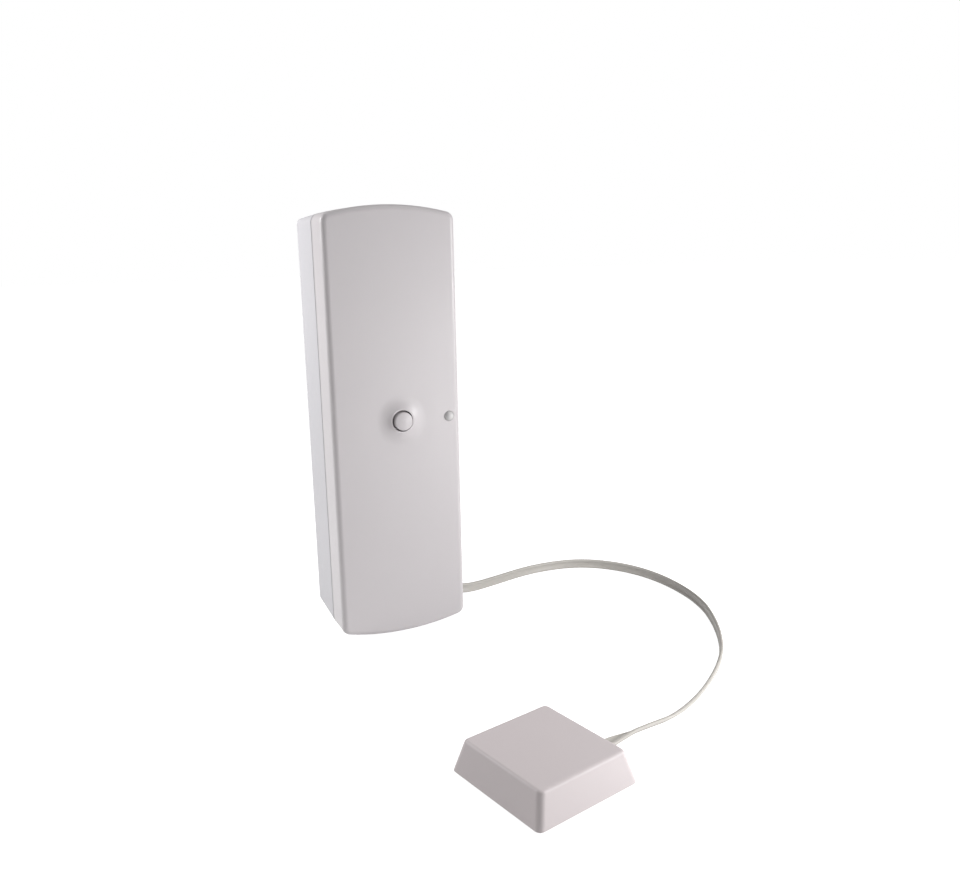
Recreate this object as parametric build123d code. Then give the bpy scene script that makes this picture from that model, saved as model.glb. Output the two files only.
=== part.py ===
from build123d import *
from math import asin, cos, pi, radians, sin, sqrt, tan
import os

# Glass break detector: a radio housing and a glass sensor on a flat twin lead.
# All sizes in millimetres. X runs across the housing, Y back towards its wall face, Z up.
# The origin is on the surface that both stand on, under the middle of the pair's box.
# Inside the housing a depth is counted forwards from the wall face.

# Housing shells
housing_width = 34.0
housing_height = 110.0
base_depth = 16.8
cover_depth = 9.2
end_rise = 2.2  # how far each end bows out past its corners
corner_radius = 2.2
front_edge_radius = 1.4
base_draft = 0.6  # how far the base draws in on each side at the wall face
wall = 1.8
lip_length = 1.6
lip_thickness = 0.9
lip_clearance = 0.25
seam_width = 0.45  # the shadow line between the shells
seam_height = 0.4

# Catches of the cover, and the slot that a blade goes in to free it
catch_length = 9.0
catch_radius = 0.6
catch_bite = 0.15  # how far a catch stands out of the lip
catch_depth = 0.8  # from the seam back to the catch
release_width = 8.0
release_depth = 1.1

# Test button and the flared mound that it stands in
button_x = 1.0
button_drop = 5.1  # from the board's upper edge down to the button
button_radius = 2.35
button_bore_radius = 2.75
button_flange_radius = 3.8
button_flange_thickness = 1.0
button_guide = 2.6  # how far the guide ring stands in from the front wall
button_guide_wall = 1.1
button_edge_radius = 0.35
button_dome_radius = 8.0
button_stem_radius = 1.4
button_proud = 1.2  # how far the cap stands out of the mound
mound_radius = 6.6
mound_top_radius = 3.1
mound_height = 0.85

# Status light
light_inset = 3.0  # from the housing's right side
light_drop = 5.2  # from the board's upper edge
light_radius = 1.3
light_clearance = 0.08
light_proud = 0.85
pipe_radius = 0.75
pipe_sleeve = 2.0
pipe_gap = 0.2
led_width = 1.1
led_height = 2.0
led_thickness = 0.9

# Circuit board, on four bosses of the base
board_gap = 0.9  # between the board and the side walls
board_height = 41.0
board_sink = 4.8  # from the seam back to the board's rear face
board_thickness = 1.6
board_corner = 1.0
board_to_cradle = 1.4
boss_radius = 2.3
boss_web = 1.0
boss_web_depth = 7.5
pilot_radius = 0.9
pin_radius = 1.1
pin_proud = 0.4
screw_length = 6.5
screw_head_radius = 1.9
screw_head_height = 1.3
screw_clearance = 0.3
post_width = 1.4
post_length = 2.6
post_gap = 0.3

# Where things are on the board: shares of its half width from the middle, and of its height
screwed_places = [(0.72, 0.917), (-0.78, 0.083)]
pinned_places = [(-0.78, 0.917), (0.78, 0.083)]
post_places = [(-0.916, 0.212), (0.916, 0.212)]
radio_place = (-0.62, 0.661)
antenna_place = (0.81, 0.917)
crystal_place = (0.8, 0.634)
controller_place = (0.28, 0.58)
amplifier_place = (0.24, 0.341)
capacitor_place = (-0.6, 0.395)
trimmer_place = (0.74, 0.34)
terminal_place = (-0.224, 0.139)
tamper_place = (0.21, 0.46)
chip_places = [
    (-0.1, 0.702),
    (-0.1, 0.639),
    (-0.1, 0.576),
    (0.63, 0.493),
    (0.84, 0.493),
    (-0.18, 0.39),
    (-0.18, 0.332),
    (0.39, 0.112),
    (0.39, 0.176),
]

# What is soldered to the board
radio_width = 9.0
radio_height = 13.0
radio_carrier = 0.8
radio_can = 2.4
radio_margin = 0.5
antenna_radius = 1.9
antenna_wire = 0.35
antenna_pitch = 2.3
antenna_turns = 8
antenna_foot = 3.0
antenna_lift = 2.8  # from the board's face to the winding's axis
crystal_width = 4.2
crystal_height = 9.6
crystal_thickness = 3.2
controller_width = 5.4
controller_height = 7.0
controller_thickness = 1.6
controller_pitch = 0.8
controller_legs = 8
amplifier_width = 4.0
amplifier_height = 4.9
amplifier_thickness = 1.5
amplifier_pitch = 1.27
amplifier_legs = 4
leg_reach = 0.9
leg_thickness = 0.3
capacitor_radius = 3.1
capacitor_height = 6.6
chip_width = 2.0
chip_height = 1.2
chip_thickness = 0.6
switch_size = 6.0
switch_case = 3.6
switch_reach = 5.0  # from the board's face to the plunger's tip
switch_plunger_radius = 1.6
switch_hole_radius = 1.95
switch_floor = 1.2
switch_play = 0.8  # under the plunger, more than the button's travel

# Lithium cell in its cradle
cell_radius = 8.5
cell_length = 34.5
cell_side_gap = 0.8
cell_end_gap = 7.0  # from the housing's upper end to the cell's raised end
cell_edge_radius = 0.7
cell_nub_radius = 3.2
cell_nub_length = 1.0
cell_clearance = 0.3
contact_gap = 3.1  # the room for the spring under the cell
contact_thickness = 0.4
contact_half = 4.0
contact_tab = 2.0
contact_reach = 7.4  # from the cell's axis to the end of a contact's tab
spring_radius = 2.8
spring_wire = 0.3
spring_turns = 3
cradle_wall = 1.6
wire_gap = 1.25  # from the cell's side to the first wire's axis
wire_step = 1.2
wire_landing = 1.3  # from the board's upper edge
wire_lift = 1.6

# Wall screws and the wall tamper plunger
wall_hole_radius = 2.1
wall_hole_x = 9.3
wall_hole_low = 14.0
wall_hole_top = 16.0  # from the housing's upper end
wall_hole_rim = 1.6
wall_hole_boss = 1.2
tamper_radius = 2.4
tamper_proud = 1.2
tamper_travel = 1.2
tamper_clearance = 0.3
tamper_guide = 4.2  # the depth where the guide ring ends and the plunger's collar rests
tamper_collar = 3.5
collar_thickness = 0.8
tamper_stem_radius = 1.0
tamper_stem_gap = 0.1  # left over when the plunger is right in
tamper_switch_size = 6.2
tamper_switch_height = 2.2
tamper_spring_radius = 1.7
tamper_spring_wire = 0.2
tamper_spring_turns = 3

# Trimmer for the sensitivity
trimmer_size = 6.4
trimmer_height = 3.6
trimmer_well = 1.5
rotor_radius = 1.9
rotor_proud = 0.2
rotor_slot = 0.6
rotor_clearance = 0.1

# Two-way screw terminal
terminal_pitch = 5.0
terminal_length = 7.8
terminal_height = 9.0
terminal_slope = 1.4
terminal_entry = 3.4  # from the board's face to the middle of a wire entry
terminal_entry_size = 3.2
terminal_well_radius = 1.7
clamp_radius = 1.55
clamp_sink = 1.4
clamp_slot = 0.5

# Flat twin lead and where it leaves the housing
lead_width = 2.8
lead_thickness = 1.1
strand_radius = 0.45
strand_lift = 0.85
exit_z = 5.3
exit_sink = 1.4  # from the seam back to the lead's middle
gland_height = 3.2
gland_nose = 1.6  # how far the gland stands out of the wall
gland_flange = 1.1
gland_lip = 0.5
tail_length = 12.6

# Glass sensor, a drafted square cap on a base plate and a pad
sensor_forward = 101.5  # from the housing's wall face to the sensor's middle
sensor_side = 0.1
sensor_turn = 13.0
sensor_width = 24.8
sensor_length = 26.0
sensor_height = 6.5
sensor_draft = 1.7
sensor_corner = 1.3
sensor_edge = 0.8
sensor_wall = 1.6
pad_thickness = 0.6
pad_margin = 0.8
plate_thickness = 1.0
plate_clearance = 0.1
entry_offset = -2.2
entry_z = 2.6
sensor_nose = 0.9
sensor_nose_width = 4.2
sensor_nose_height = 3.1
sensor_nose_sink = 0.1
sensor_hole_width = 3.6
sensor_hole_height = 1.8
sensor_hole_corner = 0.5
exit_run = 9.0  # how far the lead runs straight out of a gland
disc_radius = 7.5
disc_thickness = 0.3
disc_aside = 1.0
disc_wire_radius = 0.3

STANDING = (Align.CENTER, Align.CENTER, Align.MIN)
depth = base_depth + cover_depth
half_width = housing_width / 2
board_width = housing_width - 2 * (wall + board_gap)
board_back = base_depth - board_sink
board_front = board_back + board_thickness
cell_x = cell_radius + wall + cell_clearance + cell_side_gap - half_width
cell_depth = wall + cell_clearance + cell_radius
cell_high = housing_height - cell_end_gap
cell_low = cell_high - cell_length
contact_low = cell_low - contact_gap - contact_thickness
board_high = contact_low - cradle_wall - board_to_cradle
board_low = board_high - board_height
button_z = board_high - button_drop
light_x = half_width - light_inset
light_z = board_high - light_drop
exit_depth = base_depth - exit_sink
tail_end = half_width + gland_nose - tail_length
disc_low = pad_thickness + plate_thickness
sensor_reach = (
    (sensor_width / 2 - sensor_corner) * sin(radians(sensor_turn))
    + (sensor_length / 2 - sensor_corner) * cos(radians(sensor_turn))
    + sensor_corner
)
wall_y = (sensor_forward + sensor_reach - tamper_proud) / 2
sensor_y = wall_y - sensor_forward


def facing(x=0.0, z=0.0, forward=0.0):
    """The plane at that depth that looks forwards, with its own X across and its own Y up."""
    return Plane(origin=(x, wall_y - forward, z), x_dir=(1, 0, 0), z_dir=(0, -1, 0))


def block(left, right, back, front, low, high):
    """A box between two sides, two depths and two heights."""
    middle = ((left + right) / 2, wall_y - (back + front) / 2, (low + high) / 2)
    return Pos(*middle) * Box(right - left, front - back, high - low)


def slab(x, z, width, height, back, front):
    """A box about a point of the front view, between two depths."""
    return block(x - width / 2, x + width / 2, back, front, z - height / 2, z + height / 2)


def rod(x, z, back, front, radius):
    """A round bar that runs along the depth."""
    return extrude(facing(x, z, back) * Circle(radius), amount=front - back, dir=(0, -1, 0))


def turned(x, z, profile):
    """A piece turned about a line along the depth, from (radius, depth) corners."""
    return spun(x, z, [Polyline(*[(r, -d) for r, d in profile], close=True)])


def spun(x, z, edges):
    """The same, from lines and arcs."""
    plane = Plane(origin=(x, wall_y, z), x_dir=(1, 0, 0), z_dir=(0, 0, 1))
    return revolve(plane * make_face(edges), Axis((x, wall_y, z), (0, 1, 0)))


def domed(x, z, back, tip, radius, ball):
    """A round bar whose front end is part of a ball."""
    middle = tip - ball
    shoulder = middle + sqrt(ball**2 - radius**2)
    halfway = middle + sqrt(ball**2 - radius**2 / 4)
    dome = ThreePointArc((radius, -shoulder), (radius / 2, -halfway), (0, -tip))
    return spun(x, z, [dome, Polyline((0, -tip), (0, -back), (radius, -back), (radius, -shoulder))])


def inside(x, forward, z):
    """A point in the housing."""
    return Vector(x, wall_y - forward, z)


def on_board(place):
    """Where a share of the board's half width and of its height lies."""
    across, up = place
    return across * board_width / 2, board_low + up * board_height


def front_edges(solid):
    """The edges of the face that looks furthest forwards."""
    return solid.faces().sort_by(Axis.Y)[0].edges()


def outline(inset=0.0):
    """The housing seen from the front and drawn in by an inset: straight sides and bowed ends."""
    half = half_width - inset
    bow = (half_width**2 + end_rise**2) / (2 * end_rise) - inset
    rise = bow - sqrt(bow**2 - half**2)
    low, high = inset, housing_height - inset
    edges = [
        ThreePointArc((-half, low + rise), (0, low), (half, low + rise)),
        Line((half, low + rise), (half, high - rise)),
        ThreePointArc((half, high - rise), (0, high), (-half, high - rise)),
        Line((-half, high - rise), (-half, low + rise)),
    ]
    face = make_face(edges)
    return fillet(face.vertices(), max(corner_radius - inset, corner_radius / 4))


def prism(inset, back, front):
    """The housing's outline between two depths."""
    return extrude(facing(forward=back) * outline(inset), amount=front - back, dir=(0, -1, 0))


def drafted(inset, back, front):
    """The same, drawn in towards the wall face as the base is."""
    near = facing(forward=front) * outline(inset + base_draft * (1 - front / base_depth))
    far = facing(forward=back) * outline(inset + base_draft * (1 - back / base_depth))
    return loft([far, near], ruled=True)


def wire_path(points, radii):
    """Straight runs joined by arcs, with one radius for each corner."""
    return FilletPolyline(*points, radius=radii)


def round_wire(points, radii, radius):
    """A round wire along such a path."""
    path = wire_path(points, radii)
    return sweep(Plane(origin=path @ 0, z_dir=path % 0) * Circle(radius), path=path)


def coil(place, radius, pitch, turns, wire):
    """A wound wire about the place's own Z, as half turns, with six flats round the wire."""
    arcs = []
    for half in range(int(round(turns * 2))):
        start = half * pi
        rise = half * pitch / 2
        ends = [(start, rise), (start + pi / 2, rise + pitch / 4), (start + pi, rise + pitch / 2)]
        arcs.append(ThreePointArc(*[(radius * cos(a), radius * sin(a), z) for a, z in ends]))
    path = Wire(arcs)
    section = Plane(origin=path @ 0, z_dir=path % 0) * RegularPolygon(wire, 6)
    return place * sweep(section, path=path)


def pan_screw(x, z, seat, length, radius, head_radius, head_height):
    """A cross-head screw that seats at a depth and runs back into its boss."""
    body = rod(x, z, seat - length, seat, radius) + rod(x, z, seat, seat + head_height, head_radius)
    body = chamfer(front_edges(body), head_height / 3)
    slot, reach = head_radius / 2, head_radius * 1.2
    top = seat + head_height
    cross = slab(x, z, reach, slot / 2, top - head_height / 2, top)
    cross += slab(x, z, slot / 2, reach, top - head_height / 2, top)
    return body - cross


def rear_base():
    """The tray that goes on the wall, with its rim, bosses, cradle and holes."""
    tray = drafted(0.0, 0.0, base_depth) - drafted(wall, wall, base_depth)
    seam = prism(0.0, base_depth - seam_height, base_depth)
    tray -= seam - prism(seam_width, base_depth - seam_height, base_depth)
    for place in screwed_places + pinned_places:
        tray += board_boss(*on_board(place))
    for place in screwed_places:
        tray -= rod(*on_board(place), wall, board_back, pilot_radius)
    for place in pinned_places:
        tray += rod(*on_board(place), wall, board_front + pin_proud, pin_radius)
    tray += cradle()
    for z in (wall_hole_low, housing_height - wall_hole_top):
        inner = wall + wall_hole_boss
        tray += rod(wall_hole_x, z, wall / 2, inner, wall_hole_radius + wall_hole_rim)
        tray -= rod(wall_hole_x, z, 0.0, inner, wall_hole_radius)
    x, z = on_board(tamper_place)
    tray += rod(x, z, wall / 2, tamper_guide, tamper_collar + tamper_clearance)
    tray -= rod(x, z, 0.0, tamper_guide, tamper_radius + tamper_clearance)
    tray -= slab(0.0, 0.0, release_width, 2 * release_depth, base_depth - release_depth, base_depth)
    return tray - catches(catch_bite + 2 * lip_clearance) - gland_notch()


def board_boss(x, z):
    """A post that the board rests on, with a web to the nearest side wall."""
    side = wall / 2 - half_width if x < 0 else half_width - wall / 2
    web = block(min(x, side), max(x, side), wall / 2, boss_web_depth, z - boss_web / 2, z + boss_web / 2)
    return rod(x, z, wall / 2, board_back, boss_radius) + web


def cradle():
    """Two curved saddles and two end walls that hold the cell and its contacts."""
    reach = cell_radius + cell_clearance
    left = max(cell_x - reach - cradle_wall, wall / 2 - half_width)
    right = cell_x + reach + cradle_wall
    saddles = None
    for share in (0.22, 0.78):
        z = cell_low + share * cell_length
        saddle = block(left, right, wall / 2, cell_depth - 1.0, z - cradle_wall, z + cradle_wall)
        saddles = saddle if saddles is None else saddles + saddle
    high = cell_high + contact_thickness
    for z in (contact_low - cradle_wall / 2, high + cradle_wall / 2):
        saddles += slab(cell_x, z, reach * 1.4, cradle_wall, wall / 2, cell_depth + cell_nub_radius)
    bore = Pos(cell_x, wall_y - cell_depth, cell_low) * Cylinder(reach, cell_length, align=STANDING)
    return saddles - bore


def gland_notch():
    """The slot in the rim of the right wall that the lead's gland sits in."""
    low, high = exit_z - gland_height / 2, exit_z + gland_height / 2
    back = exit_depth - exit_sink
    return block(half_width - 2 * wall, half_width + wall, back, base_depth, low, high)


def front_cover():
    """The click-on front: a shell with a lip, the button's mound and bore, and the light's hole."""
    shell = prism(0.0, base_depth, depth)
    shell = fillet(front_edges(shell), front_edge_radius)
    shell -= prism(wall, base_depth, depth - wall)
    shell += cover_lip()
    shell += button_guide_ring()
    shell += button_mound()
    shell -= rod(button_x, button_z, depth - 2 * wall, depth + mound_height, button_bore_radius)
    sleeve = depth - wall - pipe_sleeve
    shell += rod(light_x, light_z, sleeve, depth - wall / 2, 2 * pipe_radius)
    shell -= rod(light_x, light_z, base_depth - lip_length, depth, pipe_radius)
    shell -= rod(light_x, light_z, depth - wall / 2, depth, light_radius + light_clearance)
    for place in post_places:
        x, z = on_board(place)
        shell += slab(x, z, post_width, post_length, board_front + post_gap, depth - wall / 2)
    return shell


def cover_lip():
    """The lip that guides the cover into the base, with its root inside the cover's wall."""
    outer = wall + lip_clearance
    inner = outer + lip_thickness
    root = prism(wall / 2, base_depth, base_depth + lip_length)
    root -= prism(inner, base_depth, base_depth + lip_length)
    lip = prism(outer, base_depth - lip_length, base_depth)
    lip += catches(catch_bite) & prism(wall, base_depth - lip_length, base_depth)
    lip -= prism(inner, base_depth - lip_length, base_depth)
    return root + lip - lip_gaps()


def catches(bite):
    """Two round beads on each long side, that stand out of the lip by that much."""
    beads = []
    for side in (-1, 1):
        x = side * (half_width - wall - lip_clearance + bite - catch_radius)
        for share in (0.24, 0.7):
            low = share * housing_height
            place = Pos(x, wall_y - base_depth + catch_depth, low)
            beads.append(place * Cylinder(catch_radius, catch_length, align=STANDING))
    return beads[0] + beads[1:]


def lip_gaps():
    """Where the lip is left out, for the light pipe and for the gland."""
    inner = half_width - wall
    back = base_depth - lip_length
    left = light_x - 2 * pipe_radius
    light = block(left, inner, back, base_depth, light_z - led_height, light_z + led_height)
    low = exit_z - gland_height
    return light + block(half_width / 2, inner, back, base_depth, low, exit_z + gland_height)


def button_guide_ring():
    """The ring behind the mound that the button's flange slides in."""
    back = depth - wall - button_guide
    bore = button_flange_radius + lip_clearance
    ring = rod(button_x, button_z, back, depth - wall / 2, bore + button_guide_wall)
    return ring - rod(button_x, button_z, back, depth - wall, bore)


def button_mound():
    """The flared mound round the button, which runs smoothly out into the front face."""
    reach = mound_radius - mound_top_radius
    sweep_radius = (reach**2 + mound_height**2) / (2 * mound_height)
    turn = asin(reach / sweep_radius) / 2
    halfway = (mound_radius - sweep_radius * sin(turn), -depth - sweep_radius * (1 - cos(turn)))
    flare = ThreePointArc((mound_radius, -depth), halfway, (mound_top_radius, -depth - mound_height))
    back = wall / 2 - depth
    rest = Polyline(flare @ 1, (0, -depth - mound_height), (0, back), (mound_radius, back), flare @ 0)
    return spun(button_x, button_z, [flare, rest])


def test_button():
    """The push cap, its retaining flange and the stem that reaches the switch."""
    face = depth + mound_height + button_proud
    flange_front = depth - wall
    flange_back = flange_front - button_flange_thickness
    body = domed(button_x, button_z, flange_front, face, button_radius, button_dome_radius)
    body = fillet(front_edges(body), button_edge_radius)
    body += rod(button_x, button_z, flange_back, flange_front, button_flange_radius)
    return body + rod(button_x, button_z, board_front + switch_reach, flange_back, button_stem_radius)


def light_pipe():
    """The milky pin that carries the light to its domed head in the front."""
    seat, tip = depth - wall / 2, depth + light_proud
    ball = (light_radius**2 + light_proud**2) / (2 * light_proud)
    head = domed(light_x, light_z, seat, tip, light_radius, ball)
    return head + rod(light_x, light_z, board_front + led_thickness + pipe_gap, seat, pipe_radius)


def circuit_board():
    """The board with its rounded corners and holes."""
    middle = (board_low + board_high) / 2
    face = facing(0, middle, board_back) * RectangleRounded(board_width, board_height, board_corner)
    board = extrude(face, amount=board_thickness, dir=(0, -1, 0))
    for place in screwed_places:
        board -= rod(*on_board(place), board_back, board_front, pilot_radius + screw_clearance)
    for place in pinned_places:
        board -= rod(*on_board(place), board_back, board_front, pin_radius)
    return board


def board_screws():
    """Two self-tapping screws that hold the board to its bosses."""
    sizes = (board_front, screw_length, pilot_radius, screw_head_radius, screw_head_height)
    return Compound([pan_screw(*on_board(place), *sizes) for place in screwed_places])


def battery_cell():
    """The lithium cell with its shoulder and its raised end."""
    can = Cylinder(cell_radius, cell_length - cell_nub_length, align=STANDING)
    rings = can.edges().filter_by(GeomType.CIRCLE).sort_by(Axis.Z)
    can = fillet(rings[-1], cell_edge_radius)
    can = chamfer(can.edges().filter_by(GeomType.CIRCLE).sort_by(Axis.Z)[0], cell_edge_radius / 2)
    can += Cylinder(cell_nub_radius, cell_length, align=STANDING)
    return Pos(cell_x, wall_y - cell_depth, cell_low) * can


def battery_spring():
    """The coned spring contact under the cell, with its plate."""
    place = Pos(cell_x, wall_y - cell_depth, contact_low + contact_thickness + spring_wire * 0.8)
    pitch = (contact_gap - 2 * spring_wire) / spring_turns
    return contact(contact_low) + coil(place, spring_radius, pitch, spring_turns, spring_wire)


def contact(low):
    """A thin contact plate with a tab that its wire is soldered to."""
    middle = low + contact_thickness / 2
    size = 2 * contact_half
    back = cell_depth - contact_half
    plate = slab(cell_x, middle, size, contact_thickness, back, cell_depth + contact_half)
    back, front = cell_depth - contact_tab / 2, cell_depth + contact_tab / 2
    return plate + block(cell_x, cell_x + contact_reach, back, front, low, low + contact_thickness)


def battery_plate():
    """The flat contact over the cell."""
    return contact(cell_high)


def battery_wire(low, step):
    """An insulated wire from a contact's tab down to the board."""
    x, z = cell_x + cell_radius + wire_gap + step * wire_step, board_high - wire_landing
    lift = board_front + wire_lift
    start = low + contact_thickness / 2
    points = [
        inside(cell_x + contact_reach, cell_depth, start),
        inside(x, cell_depth, start),
        inside(x, lift, board_high + board_to_cradle / 2),
        inside(x, lift, z),
        inside(x, board_front, z),
    ]
    return round_wire(points, [1.0, 0.9, 0.8], strand_radius)


def chip(place, width, height, thick, legs, pitch):
    """A flat moulded chip with a row of legs along both sides."""
    x, z = on_board(place)
    body = slab(x, z, width, height, board_front + leg_thickness * 2 / 3, board_front + thick)
    body = chamfer(front_edges(body), leg_thickness * 2 / 3)
    for row in range(legs):
        at = z + (row - (legs - 1) / 2) * pitch
        body += slab(x, at, width + 2 * leg_reach, pitch * 0.4, board_front, board_front + leg_thickness)
    return body


def radio_module():
    """The tinned screening can of the radio, on its own little board."""
    x, z = on_board(radio_place)
    carrier = slab(x, z, radio_width, radio_height, board_front, board_front + radio_carrier)
    back = board_front + radio_carrier
    width = radio_width - 2 * radio_margin
    can = slab(x, z, width, radio_height - 2 * radio_margin, back, back + radio_can)
    return carrier + chamfer(front_edges(can), radio_margin)


def antenna():
    """The wound spring aerial beside the cell, on its stalk."""
    x, z = on_board(antenna_place)
    axis = board_front + antenna_lift
    place = Pos(*inside(x, axis, z + antenna_foot))
    winding = coil(place, antenna_radius, antenna_pitch, antenna_turns, antenna_wire)
    side = x + antenna_radius
    stalk = [inside(side, axis, z + antenna_foot), inside(side, axis, z), inside(side, board_front, z)]
    return winding + round_wire(stalk, [antenna_foot / 3], antenna_wire)


def crystal():
    """The controller's quartz can."""
    face = RectangleRounded(crystal_width, crystal_height, crystal_width * 0.48)
    place = facing(*on_board(crystal_place), board_front)
    return extrude(place * face, amount=crystal_thickness, dir=(0, -1, 0))


def capacitor():
    """The reservoir capacitor with its crimped neck."""
    full, high = capacitor_radius, capacitor_height
    neck = full * 0.92
    shoulder = full * 0.87
    profile = [(0, 0), (full, 0), (full, 0.17 * high), (neck, 0.21 * high), (full, 0.26 * high)]
    profile += [(full, 0.94 * high), (shoulder, high), (0, high)]
    return turned(*on_board(capacitor_place), [(r, board_front + d) for r, d in profile])


def chip_parts():
    """The small resistors and capacitors of the board, as one group."""
    sizes = (chip_width, chip_height, board_front, board_front + chip_thickness)
    return Compound([slab(*on_board(place), *sizes) for place in chip_places])


def status_led():
    """The surface-mounted light under its pipe."""
    x = light_x - led_width / 3
    middle = board_front + led_thickness / 2
    lens = slab(x, light_z, led_width, led_height * 0.6, middle, board_front + led_thickness)
    return lens + slab(x, light_z, led_width, led_height, board_front, middle)


def switch_body():
    """The test switch: a square case with a hole for its plunger."""
    front = board_front + switch_case
    body = slab(button_x, button_z, switch_size, switch_size, board_front, front)
    body = chamfer(body.edges().filter_by(Axis.Y), switch_size / 12)
    return body - rod(button_x, button_z, board_front + switch_floor, front, switch_hole_radius)


def switch_plunger():
    """The round plunger of the test switch."""
    back = board_front + switch_floor + switch_play
    return rod(button_x, button_z, back, board_front + switch_reach, switch_plunger_radius)


def trimmer_body():
    """The open case of the sensitivity trimmer."""
    x, z = on_board(trimmer_place)
    front = board_front + trimmer_height
    body = slab(x, z, trimmer_size, trimmer_size, board_front, front)
    body = chamfer(body.edges().filter_by(Axis.Y), trimmer_size / 10)
    return body - rod(x, z, front - trimmer_well, front, rotor_radius + rotor_clearance)


def trimmer_rotor():
    """The turning screw of the trimmer, with its driver slot."""
    x, z = on_board(trimmer_place)
    front = board_front + trimmer_height + rotor_proud
    body = rod(x, z, front - rotor_proud - trimmer_well, front, rotor_radius)
    return body - slab(x, z, 3 * rotor_radius, rotor_slot, front - trimmer_well / 2, front)


def terminal_ways():
    """The middles of the terminal's two ways."""
    x, z = on_board(terminal_place)
    return [(x - terminal_pitch / 2, z), (x + terminal_pitch / 2, z)]


def terminal_block():
    """The two-way screw terminal with its wire entries and screw wells."""
    x, z = on_board(terminal_place)
    front = board_front + terminal_height
    body = slab(x, z, 2 * terminal_pitch, terminal_length, board_front, front)
    body = chamfer(front_edges(body).filter_by(Axis.X), terminal_slope)
    entry = board_front + terminal_entry
    half = terminal_entry_size / 2
    low, high = z - terminal_length / 2, z + terminal_length / 2 - terminal_slope
    for way, z in terminal_ways():
        body -= block(way - half, way + half, entry - half, entry + half, low, high)
        body -= rod(way, z, entry, front, terminal_well_radius)
    return body


def terminal_screws():
    """The two slotted clamp screws of the terminal."""
    seat = board_front + terminal_entry + terminal_entry_size / 4
    top = board_front + terminal_height - clamp_sink
    screws = []
    for x, z in terminal_ways():
        slot = slab(x, z, 3 * clamp_radius, clamp_slot, top - 1.5 * clamp_slot, top)
        screws.append(rod(x, z, seat, top, clamp_radius) - slot)
    return Compound(screws)


def tamper_switch():
    """The small switch on the back of the board that the wall plunger works."""
    size = tamper_switch_size
    return slab(*on_board(tamper_place), size, size, board_back - tamper_switch_height, board_back)


def tamper_plunger():
    """The plunger that the wall holds in, with its collar and stem."""
    x, z = on_board(tamper_place)
    collar_front = tamper_guide + collar_thickness
    body = rod(x, z, -tamper_proud, collar_front, tamper_radius)
    body = chamfer(body.faces().sort_by(Axis.Y)[-1].edges(), tamper_radius / 6)
    body += rod(x, z, tamper_guide, collar_front, tamper_collar)
    tip = board_back - tamper_switch_height - tamper_travel - tamper_stem_gap
    return body + rod(x, z, collar_front, tip, tamper_stem_radius)


def tamper_spring():
    """The spring round the plunger's stem."""
    x, z = on_board(tamper_place)
    back, front = tamper_guide + collar_thickness, board_back - tamper_switch_height
    wire = tamper_spring_wire
    pitch = (front - back - 2 * wire) / tamper_spring_turns
    place = Plane(origin=inside(x, back + wire, z), x_dir=(1, 0, 0), z_dir=(0, -1, 0))
    return coil(place.location, tamper_spring_radius, pitch, tamper_spring_turns, wire)


def lead_section(plane):
    """The lead's flat section: two round cores with a thin web between them."""
    core = lead_thickness / 2
    apart = (lead_width - lead_thickness) / 2
    face = Pos(-apart, 0) * Circle(core) + Pos(apart, 0) * Circle(core) + Rectangle(2 * apart, core)
    return plane * face


def housing_lead(x):
    """The plane of the lead's section in the housing, at a distance from its middle."""
    return Plane(origin=inside(x, exit_depth, exit_z), x_dir=(0, 0, 1), z_dir=(1, 0, 0))


def cord_gland():
    """The rubber gland in the notch: a nose outside and a flange inside."""
    side, out = half_width, half_width + gland_nose
    back, front = exit_depth - exit_sink, base_depth
    low, high = exit_z - gland_height / 2, exit_z + gland_height / 2
    inner = side - wall - gland_flange
    flange = inner + 0.7 * gland_flange
    body = block(inner, out, back, front, low, high)
    body += block(inner, flange, back - 1.6 * gland_lip, front, low + gland_lip, high + 1.6 * gland_lip)
    nose = block(side, out, back, front, low - gland_lip, high + gland_lip)
    body += chamfer(nose.edges().filter_by(Axis.Y), 0.8 * gland_lip)
    lead = extrude(lead_section(housing_lead(side - 2 * wall)), amount=3 * wall + gland_nose, dir=(1, 0, 0))
    return body - lead


def cord_tail():
    """The end of the lead inside the housing, up to where its cores part."""
    return extrude(lead_section(housing_lead(tail_end)), amount=tail_length, dir=(1, 0, 0))


def sensor_wire(way, side):
    """One core of the lead, from the tail to its terminal."""
    x, middle = terminal_ways()[way]
    entry = board_front + terminal_entry
    low = middle - terminal_length / 2
    start = exit_z + side * strand_lift
    climb = (low - exit_z) / 3
    points = [
        inside(tail_end, exit_depth, start),
        inside(x + terminal_pitch * 0.6, exit_depth, start),
        inside(x, entry, start + climb),
        inside(x, entry, low + terminal_length / 3),
    ]
    return round_wire(points, [climb / 3, climb / 2], strand_radius)


def sensor_place():
    """The sensor's own frame: X out through the wall that the lead enters, Z up."""
    return Location((sensor_side, sensor_y, 0), (0, 0, sensor_turn))


def sensor_slab(inset, low, high, draft=False):
    """A slab of the sensor's outline, drawn in by an inset and, if asked, by the draft."""
    slabs = []
    for z in (low, high):
        shrink = inset + (sensor_draft * (z - pad_thickness) / sensor_height if draft else 0.0)
        size = (sensor_width - 2 * shrink, sensor_length - 2 * shrink)
        corner = max(sensor_corner - inset, sensor_corner / 4)
        slabs.append(Plane.XY.offset(z) * RectangleRounded(*size, corner))
    return loft(slabs, ruled=True)


def sensor_cap():
    """The drafted cap, hollow from below, with the hole for the lead."""
    top = pad_thickness + sensor_height
    cap = sensor_slab(0.0, pad_thickness, top, draft=True)
    cap = fillet(cap.faces().sort_by(Axis.Z)[-1].edges(), sensor_edge)
    cap -= sensor_slab(sensor_wall, pad_thickness, top - sensor_wall, draft=True)
    return sensor_place() * (cap - sensor_hole())


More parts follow.
